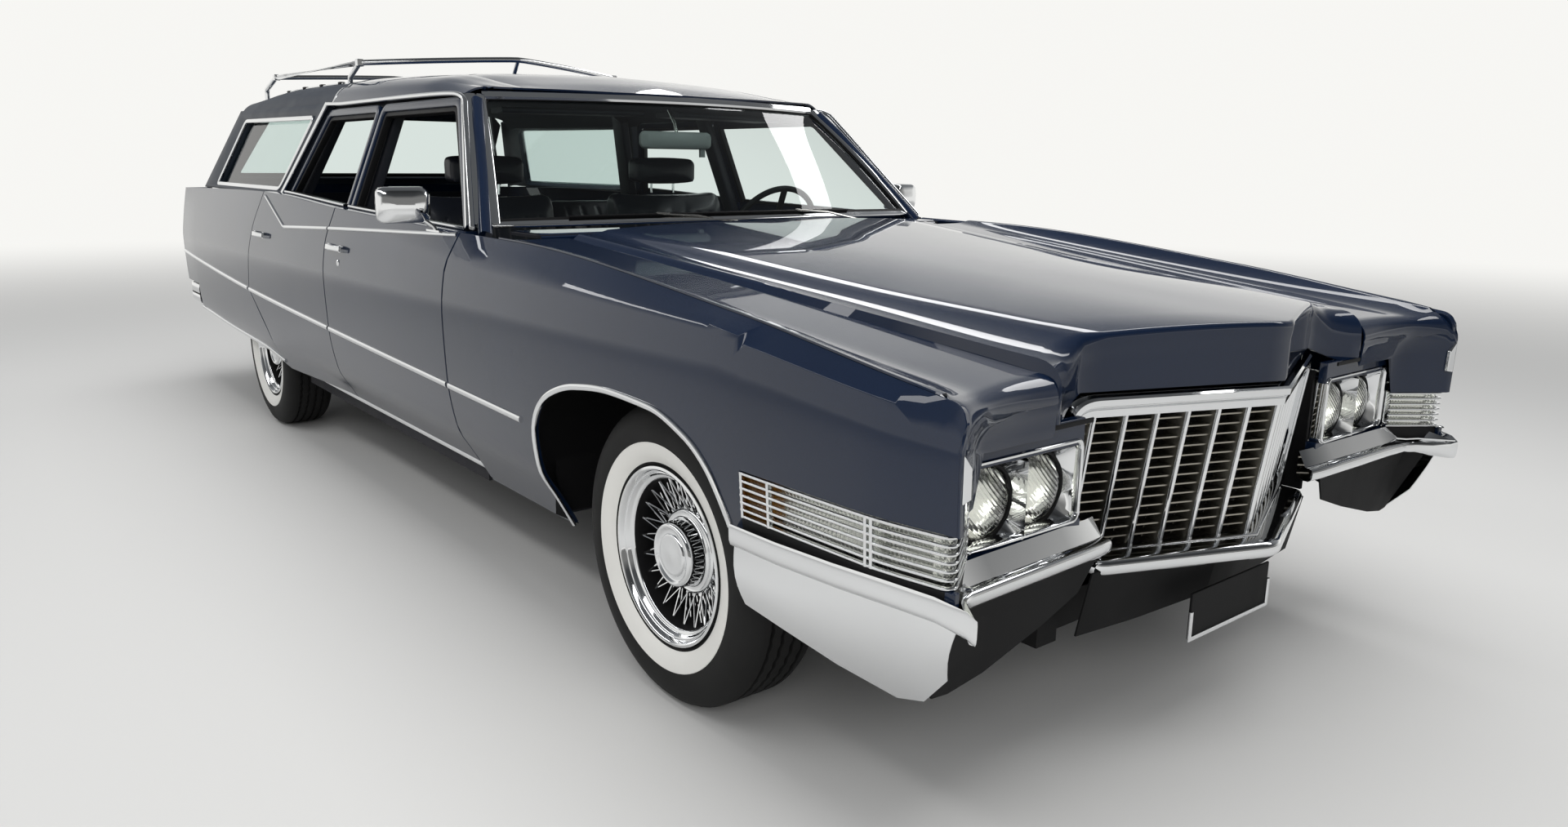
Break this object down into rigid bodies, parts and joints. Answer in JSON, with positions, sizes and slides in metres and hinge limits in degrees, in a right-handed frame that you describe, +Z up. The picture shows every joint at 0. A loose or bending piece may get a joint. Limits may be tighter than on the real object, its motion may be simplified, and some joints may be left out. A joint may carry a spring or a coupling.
{
  "type": "station wagon",
  "caption": "Full-size station wagon with hinged doors, hood and tailgate, steered front wheels, a pointed grille and a roof rack.",
  "frame": {"origin": "on the floor, under the middle of the car's box", "axes": "+X forward along the car, +Y to its left, +Z up"},
  "size_m": [5.804, 2.182, 1.666],
  "materials": {
    "paint": "dark blue metallic gloss",
    "chrome": "polished",
    "glass": "clear, faint green",
    "tyre": "black with white band",
    "frame_paint": "black",
    "lamp_lens": "clear lens",
    "red_lens": "red lens",
    "trim": "dark upholstery",
    "plastic": "grained",
    "iron": "bare",
    "steel": "plain"
  },
  "bodies": {
    "body": {"chassis_frame": "frame_paint", "floor_pan": "frame_paint", "engine_block": "iron", "radiator_support": "frame_paint", "front_fender_left": "paint", "front_fender_right": "paint", "grille": "chrome", "headlamp_bezels": "chrome", "headlamps": "lamp_lens", "side_lamps": "lamp_lens", "front_bumper": "chrome", "quarter_panel_left": "paint", "quarter_panel_right": "paint", "roof": "paint", "fixed_glass": "glass", "rear_bumper": "chrome", "tail_lamps": "red_lens", "rear_axle": "iron", "suspension": "iron", "exhaust": "steel", "fuel_tank": "steel", "dashboard": "plastic", "steering_wheel": "plastic", "front_seat": "trim", "rear_seat": "trim", "roof_rack": "chrome"},
    "hood": {"hood": "paint"},
    "tailgate": {"tailgate": "paint", "tailgate_glass": "glass"},
    "front_door_left": {"front_door_left": "paint", "door_mirror_left": "chrome"},
    "rear_door_left": {"rear_door_left": "paint"},
    "knuckle_left": {"steering_knuckle_left": "iron"},
    "front_wheel_left": {"front_tyre_left": "tyre", "front_wheel_left": "chrome"},
    "rear_wheel_left": {"rear_tyre_left": "tyre", "rear_wheel_left": "chrome"},
    "front_door_right": {"front_door_right": "paint", "door_mirror_right": "chrome"},
    "rear_door_right": {"rear_door_right": "paint"},
    "knuckle_right": {"steering_knuckle_right": "iron"},
    "front_wheel_right": {"front_tyre_right": "tyre", "front_wheel_right": "chrome"},
    "rear_wheel_right": {"rear_tyre_right": "tyre", "rear_wheel_right": "chrome"}
  },
  "joints": [
    {"name": "front_door_left_hinge", "type": "hinge", "parent": "body", "child": "front_door_left", "pos_m": [0.918, 1.002, 0.7], "axis": [0, 0, -1], "range_deg": [0, 68]},
    {"name": "rear_door_left_hinge", "type": "hinge", "parent": "body", "child": "rear_door_left", "pos_m": [-0.209, 1.002, 0.7], "axis": [0, 0, -1], "range_deg": [0, 66]},
    {"name": "steer_left", "type": "hinge", "parent": "body", "child": "knuckle_left", "pos_m": [1.97, 0.7, 0.348], "axis": [0, 0, 1], "range_deg": [-30, 30]},
    {"name": "front_wheel_left_spin", "type": "hinge", "parent": "knuckle_left", "child": "front_wheel_left", "pos_m": [1.97, 0.84, 0.348], "axis": [0, 1, 0], "continuous": true},
    {"name": "rear_wheel_left_spin", "type": "hinge", "parent": "body", "child": "rear_wheel_left", "pos_m": [-1.408, 0.84, 0.348], "axis": [0, 1, 0], "continuous": true},
    {"name": "front_door_right_hinge", "type": "hinge", "parent": "body", "child": "front_door_right", "pos_m": [0.918, -1.002, 0.7], "axis": [0, 0, 1], "range_deg": [0, 68]},
    {"name": "rear_door_right_hinge", "type": "hinge", "parent": "body", "child": "rear_door_right", "pos_m": [-0.209, -1.002, 0.7], "axis": [0, 0, 1], "range_deg": [0, 66]},
    {"name": "steer_right", "type": "hinge", "parent": "body", "child": "knuckle_right", "pos_m": [1.97, -0.7, 0.348], "axis": [0, 0, 1], "range_deg": [-30, 30]},
    {"name": "front_wheel_right_spin", "type": "hinge", "parent": "knuckle_right", "child": "front_wheel_right", "pos_m": [1.97, -0.84, 0.348], "axis": [0, 1, 0], "continuous": true},
    {"name": "rear_wheel_right_spin", "type": "hinge", "parent": "body", "child": "rear_wheel_right", "pos_m": [-1.408, -0.84, 0.348], "axis": [0, 1, 0], "continuous": true},
    {"name": "hood_hinge", "type": "hinge", "parent": "body", "child": "hood", "pos_m": [1.168, 0, 1.04], "axis": [0, -1, 0], "range_deg": [0, 48]},
    {"name": "tailgate_hinge", "type": "hinge", "parent": "body", "child": "tailgate", "pos_m": [-2.39, 0, 1.5], "axis": [0, 1, 0], "range_deg": [0, 78]}
  ],
  "couplings": [
    {"joint": "steer_right", "follows": "steer_left", "ratio": 1}
  ]
}
